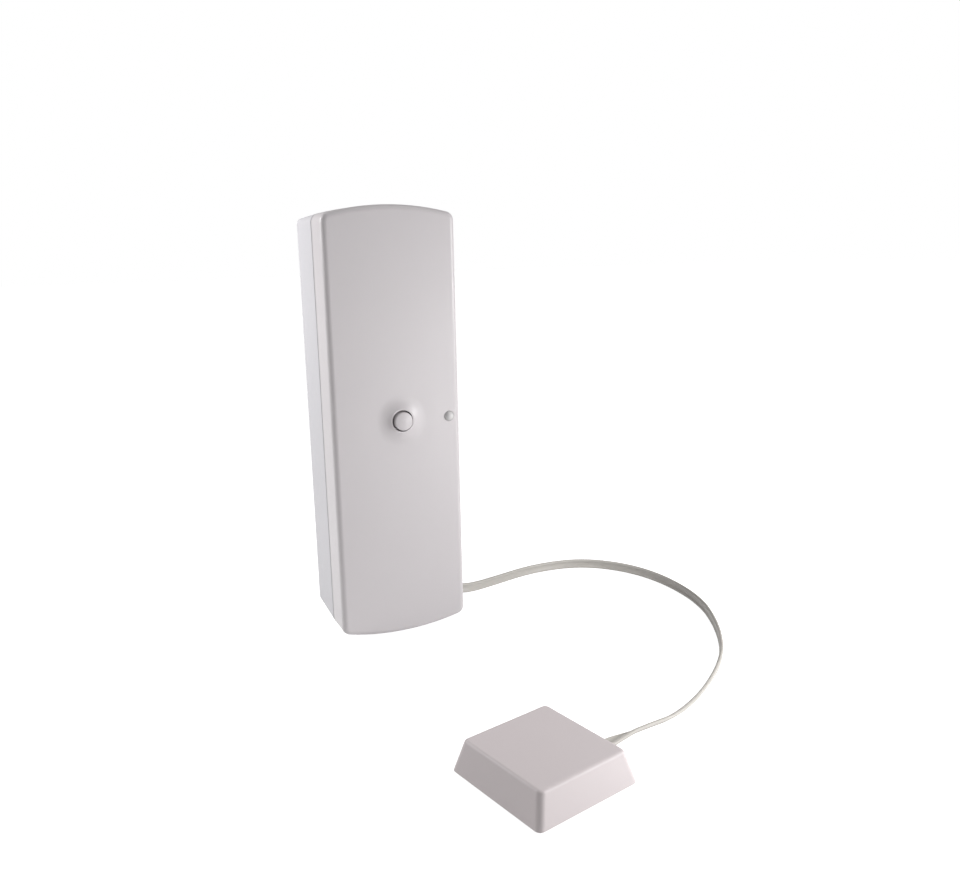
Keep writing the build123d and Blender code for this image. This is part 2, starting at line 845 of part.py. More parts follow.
def sensor_lead(out):
    """The plane of the lead's section in the sensor, at a distance from its middle."""
    return Plane(origin=(out, entry_offset, entry_z), x_dir=(0, 1, 0), z_dir=(1, 0, 0))


def sensor_hole():
    """The flat hole in the cap's wall."""
    face = RectangleRounded(sensor_hole_width, sensor_hole_height, sensor_hole_corner)
    return extrude(sensor_lead(0) * face, amount=sensor_width, dir=(1, 0, 0))


def sensor_gland():
    """The small gland round the lead at the sensor."""
    out = sensor_width / 2 + sensor_nose
    inner = sensor_width / 2 - sensor_draft - sensor_wall
    sizes = (out - inner, sensor_length, 4 * sensor_height)
    stem = sensor_hole() & Pos(inner, 0, 0) * Box(*sizes, align=(Align.MIN, Align.CENTER, Align.CENTER))
    nose_back = sensor_width / 2 - sensor_nose_sink
    section = RectangleRounded(sensor_nose_width, sensor_nose_height, sensor_hole_corner)
    nose = sensor_lead(nose_back) * section
    stem += extrude(nose, amount=out - nose_back, dir=(1, 0, 0))
    lead = extrude(lead_section(sensor_lead(0)), amount=2 * sensor_width, dir=(1, 0, 0))
    return sensor_place() * (stem - lead)


def sensor_tail():
    """The end of the lead inside the sensor."""
    inner = disc_radius + 2 * disc_wire_radius
    length = sensor_width / 2 + sensor_nose - inner
    return sensor_place() * extrude(lead_section(sensor_lead(inner)), amount=length, dir=(1, 0, 0))


def sensor_plate():
    """The plate that closes the cap from below."""
    top = pad_thickness + plate_thickness
    return sensor_place() * sensor_slab(sensor_wall + plate_clearance, pad_thickness, top, draft=True)


def adhesive_pad():
    """The double-sided pad that holds the sensor on the glass."""
    return sensor_place() * sensor_slab(pad_margin, 0.0, pad_thickness)


def sensor_disc(radius, low, thickness):
    """A flat disc in the middle of the sensor."""
    disc = Cylinder(radius, thickness, align=STANDING)
    return sensor_place() * Pos(-disc_aside, 0, low) * disc


def disc_wire(side, end, aside, under):
    """One core of the lead, from the sensor's tail down onto what lies under its end."""
    y = entry_offset + side * (lead_width - lead_thickness) / 2
    core = disc_wire_radius
    points = [
        Vector(disc_radius + 2 * core, y, entry_z),
        Vector(disc_radius - 2 * core, y, entry_z),
        Vector(end * disc_radius + 1.0, aside * disc_radius, entry_z + 0.5),
        Vector(end * disc_radius, aside * disc_radius, under + core + 0.05),
    ]
    return sensor_place() * round_wire(points, [2 * core, 1.3 * core], core)


def cord_route():
    """The lead's route over the surface, from the housing's gland to the sensor's."""
    start = inside(half_width + gland_nose, exit_depth, exit_z)
    out = sensor_width / 2 + sensor_nose
    place = sensor_place()
    end = (place * Pos(out, entry_offset, entry_z)).position
    before = (place * Pos(out + exit_run, entry_offset, entry_z)).position
    between = [
        (39.5, 48.7, 1.6),
        (53.0, 56.0, 1.45),
        (69.0, 52.8, 1.45),
        (79.4, 35.3, 1.45),
        (80.6, 12.8, 1.45),
        (72.2, -6.7, 1.45),
        (58.2, -24.2, 1.45),
        (39.2, -37.4, 1.45),
    ]
    return [start, start + Vector(exit_run, 0, 0)] + [Vector(*p) for p in between] + [before, end]


def route_radii(points):
    """The largest radius that each corner's two runs allow."""
    radii = []
    for last, point, following in zip(points, points[1:], points[2:]):
        shorter = min((point - last).length, (following - point).length)
        turn = radians((point - last).get_angle(following - point))
        radii.append(0.45 * shorter / tan(turn / 2))
    return radii


def sensor_cord():
    """The lead's free stretch, as a plain tube as wide as the lead."""
    points = cord_route()
    radii = route_radii(points)
    path = wire_path(points, radii)
    tube = sweep(Plane(origin=path @ 0, z_dir=path % 0) * Circle(lead_width / 2), path=path)
    section = pi * lead_width**2 / 4
    print("cord radii", [round(r, 1) for r in radii])
    share = tube.volume / (section * path.length)
    print("cord length", round(path.length, 1), "volume share", round(share, 4))
    return tube


controller_body = (controller_width, controller_height, controller_thickness)
controller_size = (*controller_body, controller_legs, controller_pitch)
amplifier_size = (amplifier_width, amplifier_height, amplifier_thickness, amplifier_legs, amplifier_pitch)
pieces = {
    "rear_base": rear_base(),
    "front_cover": front_cover(),
    "test_button": test_button(),
    "light_pipe": light_pipe(),
    "circuit_board": circuit_board(),
    "board_screws": board_screws(),
    "battery_cell": battery_cell(),
    "battery_spring": battery_spring(),
    "battery_plate": battery_plate(),
    "battery_wire_red": battery_wire(cell_high, 1),
    "battery_wire_black": battery_wire(contact_low, 0),
    "radio_module": radio_module(),
    "antenna": antenna(),
    "microcontroller": chip(controller_place, *controller_size),
    "amplifier_chip": chip(amplifier_place, *amplifier_size),
    "crystal": crystal(),
    "capacitor": capacitor(),
    "chip_parts": chip_parts(),
    "status_led": status_led(),
    "switch_body": switch_body(),
    "switch_plunger": switch_plunger(),
    "trimmer_body": trimmer_body(),
    "trimmer_rotor": trimmer_rotor(),
    "terminal_block": terminal_block(),
    "terminal_screws": terminal_screws(),
    "tamper_switch": tamper_switch(),
    "tamper_plunger": tamper_plunger(),
    "tamper_spring": tamper_spring(),
    "cord_gland": cord_gland(),
    "cord_tail": cord_tail(),
    "sensor_wire_red": sensor_wire(1, 1),
    "sensor_wire_black": sensor_wire(0, -1),
    "sensor_cord": sensor_cord(),
    "sensor_gland": sensor_gland(),
    "sensor_tail": sensor_tail(),
    "sensor_cap": sensor_cap(),
    "sensor_plate": sensor_plate(),
    "adhesive_pad": adhesive_pad(),
    "piezo_plate": sensor_disc(disc_radius, disc_low, disc_thickness),
    "piezo_element": sensor_disc(disc_radius * 0.7, disc_low + disc_thickness, disc_thickness),
    "disc_wire_red": disc_wire(1, 0.08, -0.09, disc_low + 2 * disc_thickness),
    "disc_wire_black": disc_wire(-1, 0.63, -0.39, disc_low + disc_thickness),
}

os.makedirs("parts", exist_ok=True)
for name, piece in pieces.items():
    export_step(piece, f"parts/{name}.step")
print("wall face at", round(wall_y, 3), "sensor middle at", round(sensor_y, 3))
print("trimmer at", [round(v, 3) for v in on_board(trimmer_place)])
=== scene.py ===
from math import asin, cos, pi, radians, sin

import bpy
from bpy.props import FloatProperty, FloatVectorProperty, PointerProperty
from bpy.types import Operator, Panel, PropertyGroup
from mathutils import Matrix, Vector


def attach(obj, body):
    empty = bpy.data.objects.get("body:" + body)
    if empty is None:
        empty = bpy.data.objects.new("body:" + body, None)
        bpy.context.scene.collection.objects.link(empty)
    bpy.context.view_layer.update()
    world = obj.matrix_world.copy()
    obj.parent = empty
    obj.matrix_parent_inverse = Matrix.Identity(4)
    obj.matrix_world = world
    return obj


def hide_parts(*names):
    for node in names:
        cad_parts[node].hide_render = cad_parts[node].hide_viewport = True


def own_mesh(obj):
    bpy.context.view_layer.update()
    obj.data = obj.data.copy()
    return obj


bl_info = {
    "name": "Glass break detector",
    "version": (1, 0, 0),
    "blender": (4, 5, 0),
    "location": "3D View > Sidebar > Detector",
    "description": "Dresses the packed glass break detector with its lead, finishes and stage",
    "category": "Object",
}

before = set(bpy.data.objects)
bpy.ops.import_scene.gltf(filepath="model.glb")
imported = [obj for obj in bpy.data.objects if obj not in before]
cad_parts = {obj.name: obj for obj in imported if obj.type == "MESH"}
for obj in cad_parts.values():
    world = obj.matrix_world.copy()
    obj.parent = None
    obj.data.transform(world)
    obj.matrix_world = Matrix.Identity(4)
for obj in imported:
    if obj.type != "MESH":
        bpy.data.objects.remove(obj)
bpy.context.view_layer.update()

MM = 0.001
BOARD_FACE = 44.149  # the place of the board's front face along Y, in millimetres
SEAM = 40.949  # the same for the seam between the housing's shells
UP = Vector((0, 0, 1))

# Where one finish meets the next on a piece, in metres. A depth is counted from the board's face,
# and a chip's body from its middle along X, with half its width.
CHIP_BODIES = {"microcontroller": (0.004, 0.0027), "amplifier_chip": (0.0034, 0.002)}
SWITCH_CASE_DEPTH = 0.0034
RADIO_BOARD_DEPTH = 0.00082
CAPACITOR_DEPTH = 0.00655
CAPACITOR_AXIS = (-0.0086, 0.03719)
CAPACITOR_BARE_RADIUS = 0.0025
CAPACITOR_STRIPE = -0.0112
CELL_AXIS = (-0.0056, 0.047149)
CELL_BARE_RADIUS = 0.0072
CELL_BAND = 0.094
EDGE = 0.00004  # half the width over which one finish turns into the next

# Linear colours and finishes that several pieces share, with each grain's size and height.
TIN = (0.56, 0.56, 0.55)
BLACK_RESIN = (0.02, 0.02, 0.021)
SLEEVE_BLUE = (0.02, 0.022, 0.04)
MOULDED_GRAIN, MOULDED_RISE = 0.00028, 0.000006
RESIN_GRAIN, RESIN_RISE = 0.00015, 0.00001
VINYL_ROUGHNESS = 0.42

# Tracks on the board's front face, as (x, z) in millimetres.
TRACKS = [
    [(4.15, 60.7), (4.15, 60.2), (4.7, 59.6), (4.7, 52.4), (3.6, 51.3), (0.2, 51.3), (-1.3, 49.8)],
    [(5.35, 60.7), (5.35, 53.6), (7.4, 51.5), (7.4, 47.6)],
    [(0.8, 47.6), (-0.2, 47.6), (-0.6, 47.2)],
    [(0.8, 46.8), (0.0, 46.8), (-0.5, 46.3), (-0.5, 45.0)],
    [(0.8, 42.0), (0.0, 41.2), (0.0, 38.2), (1.0, 37.2)],
    [(0.8, 42.8), (-2.0, 42.8), (-3.6, 41.2), (-3.6, 38.0)],
    [(-2.4, 49.8), (-3.4, 50.8), (-4.6, 50.8)],
    [(-2.4, 47.2), (-4.6, 47.2)],
    [(-2.4, 44.6), (-3.4, 43.6), (-4.6, 43.6)],
    [(7.2, 46.8), (8.4, 46.8), (9.6, 48.0)],
    [(7.2, 46.0), (8.6, 46.0), (9.6, 45.0)],
    [(7.2, 42.0), (8.0, 41.2)],
    [(7.2, 42.8), (9.8, 42.8), (10.3, 42.3), (10.3, 38.0)],
    [(12.9, 41.2), (12.9, 38.0)],
    [(-5.5, 37.0), (-3.4, 37.0)],
    [(-1.7, 37.0), (1.0, 36.9)],
    [(-1.7, 34.6), (-0.2, 34.6), (1.0, 34.4)],
    [(5.9, 36.9), (6.6, 37.6), (6.6, 40.2), (7.2, 40.8), (7.2, 41.8)],
    [(5.9, 35.6), (7.6, 35.6)],
    [(5.9, 33.1), (7.6, 33.1)],
    [(-5.7, 30.4), (-5.7, 32.4), (-3.6, 34.5)],
    [(-0.7, 30.4), (-0.7, 31.6), (0.9, 33.1)],
    [(1.6, 26.2), (2.2, 25.6), (4.7, 25.6)],
    [(4.7, 28.2), (3.4, 29.5), (3.4, 32.8)],
    [(6.5, 28.2), (8.4, 30.1), (8.4, 31.9)],
    [(6.5, 25.6), (9.0, 25.6), (12.4, 29.0), (12.4, 31.9)],
    [(-11.2, 32.0), (-11.2, 39.8), (-10.4, 40.6), (-10.4, 41.8)],
]
# Printed outlines round the larger parts, as (x, z, width, height).
OUTLINES = [
    (-8.87, 48.1, 10.0, 14.0),
    (1.0, 56.9, 7.0, 7.0),
    (10.58, 34.94, 7.2, 7.2),
    (-3.2, 26.7, 10.8, 8.6),
    (11.4, 47.0, 5.2, 10.6),
    (-8.6, 37.2, 7.2, 7.2),
]
INK_WIDTH, INK_RISE = 0.16, 0.015
# Holes filled with solder, where a track goes through the board, as (x, z).
VIAS = [
    (0.0, 51.3),
    (7.4, 49.5),
    (-3.6, 41.2),
    (-5.7, 32.4),
    (12.4, 29.0),
    (3.4, 30.6),
    (-11.2, 32.0),
]
VIA_RADIUS, VIA_RISE = 0.42, 0.06
# Where wires are soldered to the board, as (x, z, radius, height).
SOLDERED = [(4.15, 60.7, 0.55, 0.5), (5.35, 60.7, 0.55, 0.5), (13.483, 58.597, 0.7, 0.5)]
SOLDER_ROOT = 0.05  # how far solder reaches into the board
# A small chip's tinned ends, as (width, height, back, front), and their offset from its middle.
CHIP_END = (0.44, 1.24, -0.02, 0.62)
CHIP_END_OFFSET = 0.8
# The small chips' middles, as (x, z).
CHIPS = [
    (-1.43, 49.782),
    (-1.43, 47.199),
    (-1.43, 44.616),
    (9.009, 41.213),
    (12.012, 41.213),
    (-2.574, 36.99),
    (-2.574, 34.612),
    (5.577, 25.592),
    (5.577, 28.216),
]

# The lead's route in millimetres: from the housing's rim, down to the floor and to the sensor.
LEAD_ROUTE = [
    (18.6, 42.349, 5.3),
    (20.9, 42.349, 4.6),
    (24.6, 43.6, 3.9),
    (30.4, 46.7, 2.9),
    (51.7, 55.1, 1.45),
    (68.4, 51.7, 1.45),
    (79.5, 35.6, 1.45),
    (80.1, 11.8, 1.45),
    (71.3, -8.0, 1.45),
    (59.6, -23.3, 1.45),
    (37.7, -38.0, 1.45),
    (22.323, -40.879, 2.6),
    (13.554, -42.903, 2.6),
]
ROUTE_STEPS = 26  # the curve's points for each stretch of the route
SECTION_STEPS = 12  # the steps round each core

# The photograph's viewing point and the point it looks at, in metres, and its turn about that line.
EYE = Vector((-0.074014, -0.181243, 0.100147))
TARGET = Vector((0.0285, 0.044749, 0.0474))
ROLL = radians(-1.25)
# Each lamp's place, the point it looks at and its size, in metres.
LAMPS = {
    "left": ((-0.26, 0.15, 0.22), (-0.01, 0.045, 0.07), 0.18),
    "right": ((0.2, -0.11, 0.09), (0.0, 0.032, 0.055), 0.04),
    "near": ((0.1, -0.13, 0.04), (0.0, 0.02, 0.03), 0.07),
    "high": ((-0.12, 0.11, 0.14), (-0.015, 0.045, 0.09), 0.06),
    "top": ((0.02, 0.0, 0.4), (0.0, 0.0, 0.0), 0.25),
}
FLOOR_HALF = 3.0
WHITE = (1.0, 1.0, 1.0, 1.0)
PAPER = (0.7, 0.7, 0.7, 1.0)


def srgb(red, green, blue):
    """A linear colour from the eight-bit one seen on a screen."""
    shares = [channel / 255 for channel in (red, green, blue)]
    return [s / 12.92 if s <= 0.04045 else ((s + 0.055) / 1.055) ** 2.4 for s in shares]


def size_setting(name, description, default):
    """A length in metres."""
    return FloatProperty(
        name=name, description=description, default=default, min=0.0, unit="LENGTH", precision=5
    )


def share_setting(name, description, default):
    """A number from 0 to 1."""
    return FloatProperty(
        name=name, description=description, default=default, min=0.0, max=1.0, subtype="FACTOR"
    )


def colour_setting(name, description, default):
    """A linear colour."""
    return FloatVectorProperty(
        name=name,
        description=description,
        default=default,
        min=0.0,
        max=1.0,
        size=3,
        subtype="COLOR",
    )


def power_setting(name, description, default):
    """A lamp's power in watts."""
    return FloatProperty(name=name, description=description, default=default, unit="POWER")


def strength_setting(name, description, default):
    """A strength with no upper limit."""
    return FloatProperty(name=name, description=description, default=default, min=0.0)


class StageSettings(PropertyGroup):
    """The camera, the lamps and the floor."""

    lens: FloatProperty(
        name="Lens", description="Focal length on a 36 mm sensor", default=33.975, unit="CAMERA"
    )
    left_power: power_setting("Left lamp", "Lamp on the housing's left side", 0.21)
    right_power: power_setting("Right lamp", "Small lamp to the right of the button", 0.26)
    near_power: power_setting("Near lamp", "Small low lamp at the sensor's right side", 0.088)
    high_power: power_setting("High lamp", "Small lamp at the housing's upper left", 0.135)
    top_power: power_setting("Top lamp", "Large lamp over the detector", 0.2)
    ambient: strength_setting("Room light", "Strength of the light from all round", 0.24)
    floor_glow: strength_setting("Floor glow", "How much of its own white the floor shows", 0.88)


class LeadSettings(PropertyGroup):
    """The flat twin lead."""

    core_radius: size_setting("Core radius", "Half the thickness of each half of the lead", 0.00045)
    core_offset: size_setting("Core offset", "From the lead's middle to each core", 0.00094)
    web_half: size_setting("Web", "Half the thickness of the web between the cores", 0.0002)
    lean: FloatProperty(
        name="Lean",
        description="How far the lead leans over from standing on edge as it nears the sensor",
        default=radians(50),
        subtype="ANGLE",
    )
    lean_start: share_setting("Lean starts", "Share of the route where it starts to lean", 0.66)
    lean_end: share_setting("Lean ends", "Share of the route where it has its full lean", 0.9)
    flat_start: share_setting("Flat starts", "Share of the route where it starts to go flat", 0.95)
    flat_end: share_setting("Flat ends", "Share of the route where it is flat", 0.99)
    colour: colour_setting("Colour", "Colour of the vinyl", srgb(196, 192, 186))


class HousingSettings(PropertyGroup):
    """The moulded housing."""

    cover_colour: colour_setting("Cover", "Colour of the cover and the button", srgb(216, 211, 213))
    base_colour: colour_setting("Base", "Colour of the rear base", srgb(211, 209, 213))
    roughness: share_setting("Roughness", "Mean roughness of the moulded faces", 0.38)
    grain: size_setting("Grain", "Size of the fine moulded texture", MOULDED_GRAIN)
    grain_rise: size_setting("Grain rise", "Height of the fine moulded texture", MOULDED_RISE)


class SensorSettings(PropertyGroup):
    """The glass sensor."""

    colour: colour_setting("Cap", "Colour of the cap", srgb(219, 210, 211))
    pad_colour: colour_setting("Pad", "Colour of the foam pad", srgb(222, 221, 218))
    roughness: share_setting("Roughness", "Mean roughness of the cap", 0.42)


class BoardSettings(PropertyGroup):
    """The circuit board and what is soldered to it."""

    mask_colour: colour_setting("Board", "Colour of the solder mask", (0.012, 0.085, 0.032))
    track_width: size_setting("Tracks", "Width of the tracks", 0.0004)
    track_rise: size_setting("Track rise", "Height of the tracks", 0.00004)
    solder_colour: colour_setting("Solder", "Colour of the solder", (0.62, 0.62, 0.6))


class CellSettings(PropertyGroup):
    """The lithium cell."""

    film_colour: colour_setting("Film", "Colour of the film round the can", (0.03, 0.05, 0.14))
    band_colour: colour_setting("Band", "Colour of the band at its raised end", (0.5, 0.5, 0.48))


class Surface:
    """A procedural material that follows each point's place on the part, in metres."""

    def __init__(self, name, colour, roughness, metallic=0.0):
        self.material = bpy.data.materials.new(name)
        self.material.use_nodes = True
        self.material.diffuse_color = (*colour, 1.0)
        self.tree = self.material.node_tree
        self.shader = self.tree.nodes["Principled BSDF"]
        self.colour = tuple(colour)
        self.set("Base Color", (*colour, 1.0))
        self.set("Roughness", roughness)
        self.set("Metallic", metallic)
        self.place = self.node("ShaderNodeTexCoord").outputs["Object"]

    def set(self, socket, value):
        """Gives a socket of the shader a value, or links another socket to it."""
        self.feed(self.shader.inputs[socket], value)

    def linked(self, socket):
        """What a socket of the shader is linked to."""
        return self.shader.inputs[socket].links[0].from_socket

    def feed(self, socket, value):
        """Gives a socket a value, or links another socket to it."""
        if isinstance(value, bpy.types.NodeSocket):
            self.tree.links.new(value, socket)
        else:
            socket.default_value = value

    def node(self, kind, settings=(), **inputs):
        """A new node with its settings, and values or links for its inputs."""
        made = self.tree.nodes.new(kind)
        for key, value in dict(settings).items():
            setattr(made, key, value)
        for key, value in inputs.items():
            self.feed(made.inputs[key], value)
        return made

    def grain(self, size, detail=2.0):
        """Soft noise with features of that size in metres."""
        noise = self.node("ShaderNodeTexNoise", Vector=self.place, Scale=1 / size, Detail=detail)
        return noise.outputs[0]

    def cells(self, size):
        """Cell noise, the distance to the nearest of scattered points."""
        return self.node("ShaderNodeTexVoronoi", Vector=self.place, Scale=1 / size).outputs[0]

    def spread(self, share, low, high, start=0.3, end=0.7):
        """Takes a share that runs from start to end to a value from low to high."""
        ranged = self.node("ShaderNodeMapRange", Value=share)
        for index, value in enumerate((start, end, low, high), 1):
            ranged.inputs[index].default_value = value
        return ranged.outputs[0]

    def mixed(self, share, first, second):
        """One colour or the other, by share."""
        mix = self.node("ShaderNodeMix", {"data_type": "RGBA"})
        self.feed(mix.inputs[0], share)
        for index, colour in ((6, first), (7, second)):
            linked = isinstance(colour, bpy.types.NodeSocket)
            self.feed(mix.inputs[index], colour if linked else (*colour, 1.0))
        return mix.outputs[2]

    def between(self, share, first, second):
        """One number or the other, by share."""
        mix = self.node("ShaderNodeMix", {"data_type": "FLOAT"})
        self.feed(mix.inputs[0], share)
        self.feed(mix.inputs[2], first)
        self.feed(mix.inputs[3], second)
        return mix.outputs[0]

    def math(self, operation, *values):
        """The result of an operation on sockets and numbers."""
        node = self.node("ShaderNodeMath", {"operation": operation})
        for socket, value in zip(node.inputs, values):
            self.feed(socket, value)
        return node.outputs[0]

    def along(self, axis):
        """How far a point is along one axis, in metres."""
        return self.node("ShaderNodeSeparateXYZ", Vector=self.place).outputs["XYZ".index(axis)]

    def beyond(self, value, limit):
        """1 where a value is over a limit, 0 under it."""
        return self.spread(value, 0.0, 1.0, limit - EDGE, limit + EDGE)

    def within(self, value, limit):
        """1 where a value is under a limit, 0 over it."""
        return self.spread(value, 1.0, 0.0, limit - EDGE, limit + EDGE)

    def over_board(self, depth):
        """1 where a point is further than a depth in front of the board's face."""
        return self.within(self.along("Y"), BOARD_FACE * MM - depth)

    def away(self, axis, middle):
        """How far a point is from a plane across one axis."""
        return self.math("ABSOLUTE", self.math("SUBTRACT", self.along(axis), middle))

    def radius(self, axis, middle):
        """How far a point is from a line along one axis."""
        others = [name for name in "XYZ" if name != axis]
        offsets = [self.away(name, value) for name, value in zip(others, middle)]
        squares = [self.math("POWER", offset, 2.0) for offset in offsets]
        return self.math("SQRT", self.math("ADD", *squares))

    def tint(self, share, darker, lighter):
        """Shades of the base colour, by share."""
        low = [min(1.0, channel * darker) for channel in self.colour]
        high = [min(1.0, channel * lighter) for channel in self.colour]
        self.set("Base Color", self.mixed(share, low, high))

    def bump(self, height, rise, strength=1.0):
        """Relief in the shading, on top of what was there."""
        bump = self.node("ShaderNodeBump", Height=height, Distance=rise, Strength=strength)
        before = self.shader.inputs["Normal"].links
        if before:
            self.feed(bump.inputs["Normal"], before[0].from_socket)
        self.set("Normal", bump.outputs[0])


def tin(surface, share, colour=TIN, roughness=0.3):
    """Bare metal on a part of a moulded piece, by share."""
    surface.set("Base Color", surface.mixed(share, surface.linked("Base Color"), colour))
    surface.set("Roughness", surface.between(share, surface.linked("Roughness"), roughness))
    surface.set("Metallic", share)


def dress(surface, *names):
    """Gives CAD nodes a finish."""
    for name in names:
        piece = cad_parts[name]
        if not piece.material_slots:
            piece.data.materials.append(surface.material)
        for slot in piece.material_slots:
            slot.material = surface.material


def moulded(name, colour, roughness, grain=MOULDED_GRAIN, rise=MOULDED_RISE, shine=0.5):
    """Moulded plastic: a fine texture on slow waves, with faint clouds in colour and sheen."""
    surface = Surface(name, colour, roughness)
    surface.tint(surface.grain(0.02, 3.0), 0.985, 1.015)
    sheen = surface.spread(surface.grain(0.0012), roughness - 0.05, roughness + 0.05)
    surface.set("Roughness", sheen)
    surface.bump(surface.grain(grain, 1.0), rise)
    surface.bump(surface.grain(0.012, 1.0), 0.00006, 0.5)
    surface.set("IOR", 1.5)
    surface.set("Specular IOR Level", shine)
    return surface


def paint_seam_shade(surface):
    """Painted shade: a soft darker line where the shells' edges round off into the seam and fall
    into shade.
    """
    # The painted shade: 80 % of the colour, fading out between 0.2 and 1.2 mm from the seam.
    near = surface.spread(surface.away("Y", SEAM * MM), 1.0, 0.0, 0.0002, 0.0012)
    darker = [0.8 * channel for channel in surface.colour]
    surface.set("Base Color", surface.mixed(near, surface.linked("Base Color"), darker))


def metal(name, colour, roughness, scratch=0.0002):
    """Plated or turned metal with fine marks."""
    surface = Surface(name, colour, roughness, 1.0)
    marks = surface.grain(scratch, 3.0)
    surface.tint(surface.grain(0.0015), 0.9, 1.05)
    surface.set("Roughness", surface.spread(marks, roughness - 0.08, roughness + 0.12))
    surface.bump(marks, 0.000004)
    return surface


def vinyl(name, colour, roughness):
    """Soft vinyl or rubber."""
    surface = Surface(name, colour, roughness)
    surface.tint(surface.grain(0.004, 3.0), 0.95, 1.03)
    sheen = surface.spread(surface.grain(0.0006), roughness - 0.06, roughness + 0.08)
    surface.set("Roughness", sheen)
    surface.bump(surface.grain(0.0005), 0.00001)
    return surface


def add_piece(name, points, faces, surface, body, slot):
    """A mesh of the scene's own, with its finish, on its body."""
    mesh = bpy.data.meshes.new(name)
    mesh.from_pydata([tuple(point) for point in points], [], faces)
    mesh.validate()
    mesh.materials.append(surface.material)
    piece = bpy.data.objects.new(name, mesh)
    bpy.context.scene.collection.objects.link(piece)
    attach(piece, body)
    return piece


def on_board(place, lift=0.0):
    """A point over the board's front face, from (x, z) and a lift in millimetres."""
    across, up = place
    return (across * MM, (BOARD_FACE - lift) * MM, up * MM)


def tube_faces(first, count, rings):
    """The sides of a tube of rings with that count of points, from a first point on."""
    faces = []
    for ring in range(rings - 1):
        for step in range(count):
            near = first + ring * count + step
            beside = first + ring * count + (step + 1) % count
            faces.append((near, beside, beside + count, near + count))
    return faces


def board_boxes(boxes):
    """Boxes on the board, from (x, z, width, height, back, front) in millimetres over its face."""
    points, faces = [], []
    for x, z, width, height, back, front in boxes:
        first = len(points)
        for lift in (back, front):
            for right, up in ((-1, -1), (1, -1), (1, 1), (-1, 1)):
                points.append(on_board((x + right * width / 2, z + up * height / 2), lift))
        sides = [(0, 1, 5, 4), (1, 2, 6, 5), (2, 3, 7, 6), (3, 0, 4, 7), (3, 2, 1, 0), (4, 5, 6, 7)]
        faces += [tuple(first + corner for corner in side) for side in sides]
    return points, faces


def board_strips(lines, width, rise):
    """Flat strips along lines on the board, with mitred corners."""
    points, faces = [], []
    for line in lines:
        spots = [Vector(spot) for spot in line]
        ways = [(after - before).normalized() for before, after in zip(spots, spots[1:])]
        first = len(points)
        for index, spot in enumerate(spots):
            before, after = ways[max(0, index - 1)], ways[min(len(ways) - 1, index)]
            normals = [Vector((-way.y, way.x)) for way in (before, after)]
            mitre = (normals[0] + normals[1]).normalized()
            half = mitre * (width / 2 / mitre.dot(normals[0]))
            for side, lift in ((1, -rise), (-1, -rise), (-1, rise), (1, rise)):
                points.append(on_board(spot + side * half, lift))
        last = len(spots) - 1
        faces.append(tuple(first + corner for corner in (0, 1, 2, 3)))
        for ring in range(last):
            near = first + 4 * ring
            for corner in range(4):
                beside = (corner + 1) % 4
                faces.append((near + beside, near + corner, near + 4 + corner, near + 4 + beside))
        faces.append(tuple(first + 4 * last + corner for corner in (3, 2, 1, 0)))
    return points, faces


def board_domes(spots):
    """Round heaps of solder on the board, from (x, z, radius, height) in millimetres."""
    steps, rings = 16, 5
    points, faces = [], []
    for x, z, radius, height in spots:
        first = len(points)
        for ring in range(rings):
            angle = pi / 2 * ring / rings
            lift = height * sin(angle) if ring else -SOLDER_ROOT
            for step in range(steps):
                turn = 2 * pi * step / steps
                reach = radius * cos(angle)
                points.append(on_board((x + reach * cos(turn), z + reach * sin(turn)), lift))
        points.append(on_board((x, z), height))
        top = len(points) - 1
        faces.append(tuple(first + step for step in reversed(range(steps))))
        faces += tube_faces(first, steps, rings)
        rim = first + (rings - 1) * steps
        faces += [(rim + step, rim + (step + 1) % steps, top) for step in range(steps)]
    return points, faces


def set_camera(scene, settings):
    """The photograph's viewing angle."""
    back = (EYE - TARGET).normalized()
    level = UP.cross(back).normalized()
    upright = back.cross(level)
    right = cos(ROLL) * level + sin(ROLL) * upright
    up = cos(ROLL) * upright - sin(ROLL) * level
    data = bpy.data.cameras.new("camera")
    data.lens = settings.lens
    data.sensor_width = 36.0
    data.sensor_fit = "HORIZONTAL"
    data.clip_start = 0.005
    data.clip_end = 20.0
    camera = bpy.data.objects.new("camera", data)
    turn = Matrix((right, up, back)).transposed().to_4x4()
    camera.matrix_world = Matrix.Translation(EYE) @ turn
    scene.collection.objects.link(camera)
    scene.camera = camera


def seen_white(tree, *kinds):
    """1 for the kinds of rays that show the white backdrop."""
    rays = tree.nodes.new("ShaderNodeLightPath")
    seen = rays.outputs[kinds[0]]
    for kind in kinds[1:]:
        either = tree.nodes.new("ShaderNodeMath")
        either.operation = "MAXIMUM"
        tree.links.new(seen, either.inputs[0])
        tree.links.new(rays.outputs[kind], either.inputs[1])
        seen = either.outputs[0]
    return seen


def show_white(tree, lit, white, out, *kinds):
    """Links the white shader for those kinds of rays, and the lit one for the rest."""
    mix = tree.nodes.new("ShaderNodeMixShader")
    tree.links.new(seen_white(tree, *kinds), mix.inputs[0])
    tree.links.new(lit.outputs[0], mix.inputs[1])
    tree.links.new(white.outputs[0], mix.inputs[2])
    tree.links.new(mix.outputs[0], out.inputs[0])


def light_room(scene, settings):
    """Even light from all round, and white where the camera looks past the floor."""
    world = bpy.data.worlds.new("room")
    world.use_nodes = True
    tree = world.node_tree
    tree.nodes.clear()
    room = tree.nodes.new("ShaderNodeBackground")
    room.inputs["Strength"].default_value = settings.ambient
    white = tree.nodes.new("ShaderNodeBackground")
    for background in (room, white):
        background.inputs["Color"].default_value = WHITE
    out = tree.nodes.new("ShaderNodeOutputWorld")
    show_white(tree, room, white, out, "Is Camera Ray", "Is Transmission Ray")
    scene.world = world


